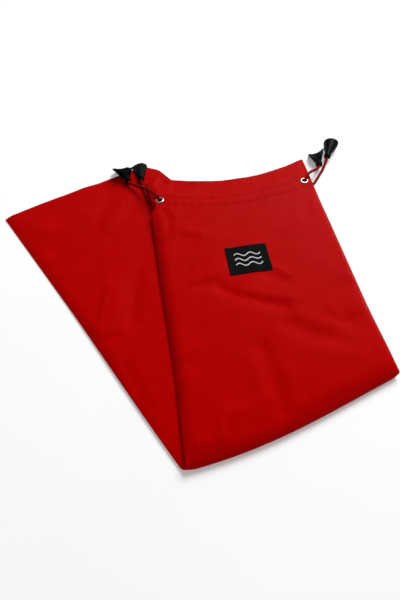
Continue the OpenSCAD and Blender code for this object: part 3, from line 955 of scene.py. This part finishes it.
def seam_line(side):
    """Along a side of the sack, from its bottom round the fold to the mouth, with its flat place."""
    s = 0.0 if side == "left" else 1.0
    points, flat = [], []
    far = BOTTOM_LEFT if side == "left" else BOTTOM_RIGHT
    near = np.zeros(2) if side == "left" else FOLD_RIGHT
    for t in np.linspace(1, 0, 140):
        plan = near + t * (far - near)
        v = from_fold(*plan)
        plan = plan + FOLD_DIR[:2] * (side_shift(s, v, 0) + corner_bulge(s, t))
        points.append([*plan, max((lower_level(v) + FLOOR_Z) / 2, LOWEST_SEAM)])
        flat.append(-v)
    radius = (SEAM_Z - (NEAR_Z + FLOOR_Z) / 2) / 2
    centre = (SEAM_Z + (NEAR_Z + FLOOR_Z) / 2) / 2
    for a in np.linspace(0, math.pi, 16)[1:-1]:
        plan = near + FOLD_OUT[:2] * radius * math.sin(a) + FOLD_DIR[:2] * side_shift(s, 0, a / math.pi)
        points.append([*plan, centre - radius * math.cos(a)])
        flat.append((a / math.pi - 0.5) * 2 * MM)
    x = s * BAG_W
    for y in np.linspace(near[1], UPPER_LEN - 0.3 * MM, 150):
        v = from_fold(x, y)
        place = left_pucker(x, y) if side == "left" else x
        plan = np.array([place, y]) + FOLD_DIR[:2] * side_shift(s, v, 1)
        points.append([*plan, upper_seam(x, v)])
        flat.append(v)
    return np.array(points), np.array(flat)


def side_seam(side):
    points, flat = seam_line(side)
    obj = make_object(side + "_side_seam", *tube(points + CORNER, SEAM_R, SEAM_SIDES), CLOTH)
    run = np.pad(flat, len(CAP), mode="edge")
    laid = np.zeros((len(run), SEAM_SIDES, 3), np.float32)
    laid[:, :, 1] = run[:, None]
    blend_laid_flat(obj, laid)
    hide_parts(side + "_side_seam_lower", side + "_fold_seam", side + "_side_seam_upper")
    return obj


seams = [side_seam("left"), side_seam("right")]


def bottom_seam():
    run = BOTTOM_RIGHT - BOTTOM_LEFT
    line = [[*(BOTTOM_LEFT + t * run), LOWEST_SEAM] for t in np.linspace(0, 1, 80)]
    obj = make_object("bottom_seam_edge", *tube(np.array(line) + CORNER, SEAM_R, SEAM_SIDES), CLOTH)
    settle(obj, "lower_half", "bottom_seam")
    return obj


seams.append(bottom_seam())


# --- stitches ---
STITCH_ARCH = 0.2 * MM
THREAD_LIFT = 0.03 * MM


def stitch(shape, a, b, lift, radius=0.22 * MM):
    """One stitch from a to b, arched by lift."""
    t = np.linspace(0, 1, 5)[:, None]
    points = a + (b - a) * t + np.array([0, 0, lift]) * np.sin(math.pi * t)
    shape.add(*tube(points, radius, 6))


def hem_stitches(panel):
    shape = Shape()
    pitch, length = 3.1 * MM, 2.5 * MM
    height, side = (front_height, 1) if panel == "front" else (back_height, -1)
    for line in (0, 1):
        for start in np.arange(2 * MM, BAG_W - 2 * MM - pitch, pitch):
            x = np.array([start, start + length])
            y = stitch_y(x, line)
            z = height(x, y) + side * (CLOTH_T / 2 + THREAD_LIFT)
            stitch(shape, *(np.stack([x, y, z], axis=1) + CORNER), side * STITCH_ARCH)
    obj = shape.make(panel + "_hem_stitches", HEM_THREAD)
    settle(obj, "upper_half", panel + "_hem_stitching")
    return obj


hem_threads = {panel: hem_stitches(panel) for panel in ("front", "back")}

# --- eyelets ---
EYELET_SIDES = 48
HOLE_R = 3.3 * MM
DOME_RISE = 0.95 * MM
LIP = 0.3 * MM
BARREL_T = 0.7 * MM
BARREL_DEPTH = 0.9 * MM
SUNK = 0.05 * MM


def eyelet_profile(outer):
    """Over the domed flange from the hole outwards, back under it and down the barrel."""
    middle, half = (outer + HOLE_R) / 2, (outer - HOLE_R) / 2
    dome = [(middle - half * math.cos(a), DOME_RISE * math.sin(a)) for a in np.linspace(0, math.pi, 13)]
    barrel_r = HOLE_R + BARREL_T
    under = [(outer - LIP, -SUNK), (barrel_r, -SUNK)]
    return dome + under + [(barrel_r, -BARREL_DEPTH), (HOLE_R, -BARREL_DEPTH)]


def eyelet(which, panel):
    """A pressed eyelet: a domed flange, with its barrel going down through the cloth."""
    node = "%s_%s_eyelet" % (which, panel)
    low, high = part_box(node)
    profile = eyelet_profile((high.x - low.x) / 2)
    up, cloth_z = (1, FRONT_Z) if panel == "front" else (-1, BACK_Z)
    seat = cloth_z + up * CLOTH_T / 2
    points = []
    for k in range(EYELET_SIDES):
        a = 2 * math.pi * k / EYELET_SIDES * up
        points += [[*(EYELETS[which] + r * along(a)), seat + up * z] for r, z in profile]
    faces, uvs = skin(np.linspace(0, 1, EYELET_SIDES + 1), np.linspace(0, 1, len(profile) + 1), closed=True)
    obj = make_object(which + "_" + panel + "_ring", np.array(points) + CORNER, faces, uvs, NICKEL)
    settle(obj, "upper_half", node)


for which in ("left", "right"):
    for panel in ("front", "back"):
        eyelet(which, panel)

# --- label ---
LABEL_LOW, LABEL_HIGH = (np.array(c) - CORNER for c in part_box("label"))
LABEL_T = 0.6 * MM
LABEL_LEAN = 0.9 * MM
LABEL_BOW = 0.5 * MM


def label_top(x, y, lift=0.0):
    """Top of the label, which smooths over the cloth beneath it."""
    return front_height(x, y) + CLOTH_T / 2 + LABEL_T + lift


def label_piece():
    u = np.linspace(LABEL_LOW[0], LABEL_HIGH[0], 37)
    v = np.linspace(LABEL_LOW[1], LABEL_HIGH[1], 31)
    x, y = np.meshgrid(u, v)
    centre = (LABEL_LOW + LABEL_HIGH) / 2
    x = x + LABEL_LEAN * (y - centre[1]) / (LABEL_HIGH[1] - LABEL_LOW[1])
    y = y + LABEL_BOW * np.sin((x - centre[0]) * 60)
    z = label_top(x, y) - LABEL_T / 2
    grid = np.stack([x, y, z], axis=-1)
    obj = thick_sheet("woven_label", grid + CORNER, np.stack([x, y], axis=-1), LABEL_T, LABEL)
    settle(obj, "upper_half", "label")
    return obj


def label_stitches():
    shape = Shape()
    inset, pitch, length = 1.6 * MM, 2.4 * MM, 1.8 * MM
    low, high = LABEL_LOW[:2] + inset, LABEL_HIGH[:2] - inset
    corners = [low, np.array([high[0], low[1]]), high, np.array([low[0], high[1]])]
    for a, b in zip(corners, corners[1:] + corners[:1]):
        run = b - a
        size = np.linalg.norm(run)
        for start in np.arange(0, size - length, pitch):
            x, y = (a + run * np.array([[start], [start + length]]) / size).T
            ends = np.stack([x, y, label_top(x, y, 0.08 * MM)], axis=1) + CORNER
            stitch(shape, *ends, STITCH_ARCH, 0.2 * MM)
    obj = shape.make("label_stitches", LABEL_THREAD)
    settle(obj, "upper_half", "label_stitching")
    return obj


def label_motif():
    """A plain woven pattern: three waves of raised thread."""
    shape = Shape()
    centre = (LABEL_LOW + LABEL_HIGH) / 2
    half = 17 * MM
    for row in (-1, 0, 1):
        for strand in (-1, 0, 1):
            x = np.linspace(-half, half, 61)
            y = row * 8 * MM + 2.2 * MM * np.sin(2 * math.pi * x / half) + strand * 0.55 * MM
            x, y = centre[0] + x, centre[1] + y
            line = np.stack([x, y, label_top(x, y, 0.05 * MM)], axis=1) + CORNER
            shape.add(*tube(line, 0.32 * MM, 6, flat=0.6))
    obj = shape.make("label_waves", MOTIF_THREAD)
    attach(obj, "upper_half")
    return obj


label = label_piece()
label_sewing = [label_stitches(), label_motif()]


# --- cords ---
def strand(which):
    """A free cord: a little thicker once it is clear of its eyelet, and never into the floor."""
    line = smooth_line(np.array(ROUTES[which]), CORD_STEP) + CORNER
    run = np.arange(len(line)) * CORD_STEP
    radius = CORD_D / 2 + 0.3 * MM * smooth(run, 8 * MM, 20 * MM)
    radius = np.minimum(radius, line[:, 2])
    obj = make_object(which + "_strand", *tube(line, radius, 16), CORD)
    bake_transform(obj)
    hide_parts(which + "_cord")
    return obj, line


def cased_cord(panel):
    """The drawcord inside its casing, pressed flat between the panel and the hem."""
    x = np.linspace(EYELETS["left"][0] + MM, EYELETS["right"][0] - MM, 150)
    line = np.stack([x, casing_y(x), np.full_like(x, mid_height(panel + "_drawcord"))], axis=1)
    obj = make_object(panel + "_cased_cord", *tube(line + CORNER, 3.3 * MM, 16, flat=0.23), CORD)
    settle(obj, "upper_half", panel + "_drawcord")


def turned(which):
    """From a tab's own frame, neck first along +X, to the sack's."""
    place, heading, tilt, turn, _ = TABS[which]
    spin = Matrix.Rotation(math.radians(heading), 4, "Z") @ Matrix.Rotation(math.radians(-tilt), 4, "Y")
    spin = spin @ Matrix.Rotation(math.radians(turn), 4, "X")
    return Matrix.Translation(Vector(place) + Vector(CORNER)) @ spin


def moved(matrix, points):
    m = np.array(matrix)
    return np.asarray(points) @ m[:3, :3].T + m[:3, 3]


def knot(which):
    """A tight stopper knot: one cord turned through itself."""
    t = np.linspace(0, 2 * math.pi, 72, endpoint=False)
    turns = np.stack([np.cos(t) - 2 * np.cos(2 * t), np.sin(t) + 2 * np.sin(2 * t), -np.sin(3 * t)], axis=1)
    loop = turns * np.array([1.3, 0.42, 0.7]) * MM + np.array([9.5, 0, 0.2]) * MM
    rings = tube(moved(turned(which), loop), 1.1 * MM, 10, closed=True)
    obj = make_object(which + "_stopper_knot", *rings, CORD)
    settle(obj, which + "_cord_end", which + "_knot")
    return obj


# --- tabs ---
TAB_LEN = 38 * MM
TAB_HALF_W = 14.6 * MM
NECK_LEN = 8 * MM
NECK_R = 3.5 * MM
TAB_T = 1.4 * MM
NECK_HALF = math.radians(168)
TAB_CORNER = 3.2 * MM
FULLNESS = {"front": 2 * MM, "back": -0.6 * MM}
APEX_AT = -0.3
ARC_STEPS = 36
RIM_STEPS = 6


def rounded_end(arc, arc_half):
    """How far the tab's far edge draws back near its two corners."""
    past = max(0.0, abs(arc) - (arc_half - TAB_CORNER))
    return TAB_CORNER - math.sqrt(max(0.0, TAB_CORNER ** 2 - past ** 2))


def tab_stations():
    """Along the tab: the place, the share of the flare and the share of the full thickness."""
    start = [(-0.4 * MM, 0.0, 0.35), (-0.25 * MM, 0.0, 0.8)]
    neck = [(x * MM, 0.0, 1.0) for x in (0, 1.5, 3, 5, 7)]
    flare = [(NECK_LEN + (TAB_LEN - NECK_LEN) * s, s, 1.0) for s in np.linspace(0, 1, 30)]
    end = [(TAB_LEN + 0.25 * MM, 1.0, 0.8), (TAB_LEN + 0.4 * MM, 1.0, 0.35)]
    return start + neck + flare + end


def section(r, t, half):
    """Round a rolled sheet of radius r and half thickness t: the radius, the angle, and how far
    past that angle each point lies."""
    outside = [(r + t, a, 0) for a in np.linspace(-half, half, ARC_STEPS + 1)]
    inside = [(r - t, a, 0) for a in np.linspace(half, -half, ARC_STEPS + 1)]
    turn = np.linspace(0, math.pi, RIM_STEPS + 2)[1:-1]
    one_edge = [(r + t * math.cos(c), half, t * math.sin(c)) for c in turn]
    other_edge = [(r + t * math.cos(c), -half, -t * math.sin(c)) for c in turn[::-1]]
    return outside + one_edge + inside + other_edge


def tab_rows(which):
    """Rings of points from the neck to the far edge, in the tab's own frame."""
    widening, unrolling, point, press = TAB_SHAPES[which]
    fullness = FULLNESS[which.split("_")[1]]
    far_r = TAB_HALF_W / math.radians(TABS[which][4])
    far_half = (TAB_HALF_W - TAB_T / 2) / far_r
    opening = (far_r - NECK_R) * widening
    rows = []
    for x, s, full in tab_stations():
        r = NECK_R + opening * s + (far_r - NECK_R - opening) * s * s
        half = far_half + (NECK_HALF - far_half) * (1 - s) ** unrolling
        floor_z = r * math.cos(half) - r + NECK_R
        row = []
        for radius, a, past in section(r, TAB_T / 2 * full, half):
            apex = max(0.0, 1 - abs(a / half - APEX_AT) / (1 - APEX_AT))
            back = rounded_end(a * r, half * r) * float(smooth(s, 0.6, 1))
            back -= s ** 4 * (fullness * (1 - (a / half) ** 2) + point * apex)
            rise = radius * math.cos(a) - past * math.sin(a) - r * math.cos(half)
            row.append([x - back, radius * math.sin(a) + past * math.cos(a),
                        floor_z + rise * (1 - press * s * s)])
        rows.append(row)
    return np.array(rows)


def tab_faces(count, around):
    """Quads along the rolled sheet, with its two ends closed along the middle of the sheet."""
    faces, uvs = skin(np.arange(count) * MM, np.linspace(0, 60 * MM, around + 1))
    other_edge = 2 * ARC_STEPS + RIM_STEPS + 1
    for base, order in ((0, 1), ((count - 1) * around, -1)):
        for k in range(ARC_STEPS):
            quad = (base + k, base + k + 1, base + other_edge - k - 1, base + other_edge - k)
            faces.append(quad[::order])
            uvs += [(0, 0), (MM, 0), (MM, MM), (0, MM)]
        for start in (ARC_STEPS, other_edge):
            rim = tuple(base + k % around for k in range(start, start + RIM_STEPS + 2))
            faces.append(rim[::order])
            uvs += [(0, 0)] * len(rim)
    return faces, uvs


def tab(which):
    """A moulded sheet rolled round the cord at its neck and flared to a fan."""
    rows = tab_rows(which)
    faces, uvs = tab_faces(*rows.shape[:2])
    obj = make_object(which + "_end_tab", moved(turned(which), rows.reshape(-1, 3)), faces, uvs, TAB)
    settle(obj, which + "_cord_end", which + "_tab")
    return obj


for panel in ("front", "back"):
    cased_cord(panel)
for which in ROUTES:
    cord, line = strand(which)
    pieces = [tab(which), knot(which), frame["nodes"][which + "_binding"]]

# --- CAD parts that show as they are ---
for name, node in frame["nodes"].items():
    if name.endswith(("_washer", "_binding")):
        node.data.materials.clear()
        node.data.materials.append(TAB if name.endswith("_binding") else NICKEL)
        node.data.shade_smooth()


# --- floor and light ---
def floor():
    look = Look("floor", (0.78, 0.785, 0.78), 0.9, specular=0.1)
    look.ramp(look.noise(6, 2), (0.2, (0.77, 0.775, 0.77)), (0.8, (0.79, 0.795, 0.79)))
    look.set("Emission Color", (1, 1, 1, 1))
    look.set("Emission Strength", 0.2)
    half = 20
    corners = [(-half, -half, 0), (half, -half, 0), (half, half, 0), (-half, half, 0)]
    obj = make_object("floor", corners, [(0, 1, 2, 3)], [(0, 0), (1, 0), (1, 1), (0, 1)], look.material)


def area_light(name, place, target, size, energy):
    data = bpy.data.lights.new(name, "AREA")
    data.shape = "SQUARE"
    data.size = size
    data.energy = energy
    obj = bpy.data.objects.new(name, data)
    bpy.context.scene.collection.objects.link(obj)
    obj.location = place
    obj.rotation_euler = (Vector(target) - Vector(place)).to_track_quat("-Z", "Y").to_euler()


floor()
area_light("key", (1.35, 1.75, 2.3), (0, 0, 0), 1.8, 114)
area_light("fill", (-1.6, -1.0, 2.2), (0, 0, 0), 1.6, 8)
area_light("front", (0.05, -0.55, 1.3), (0, 0.1, 0), 0.25, 0.7)
world = bpy.data.worlds.new("studio")
bpy.context.scene.world = world
world.use_nodes = True
world.node_tree.nodes["Background"].inputs["Color"].default_value = (1, 1, 1, 1)
world.node_tree.nodes["Background"].inputs["Strength"].default_value = 0.2
bpy.context.scene.view_settings.view_transform = "Standard"
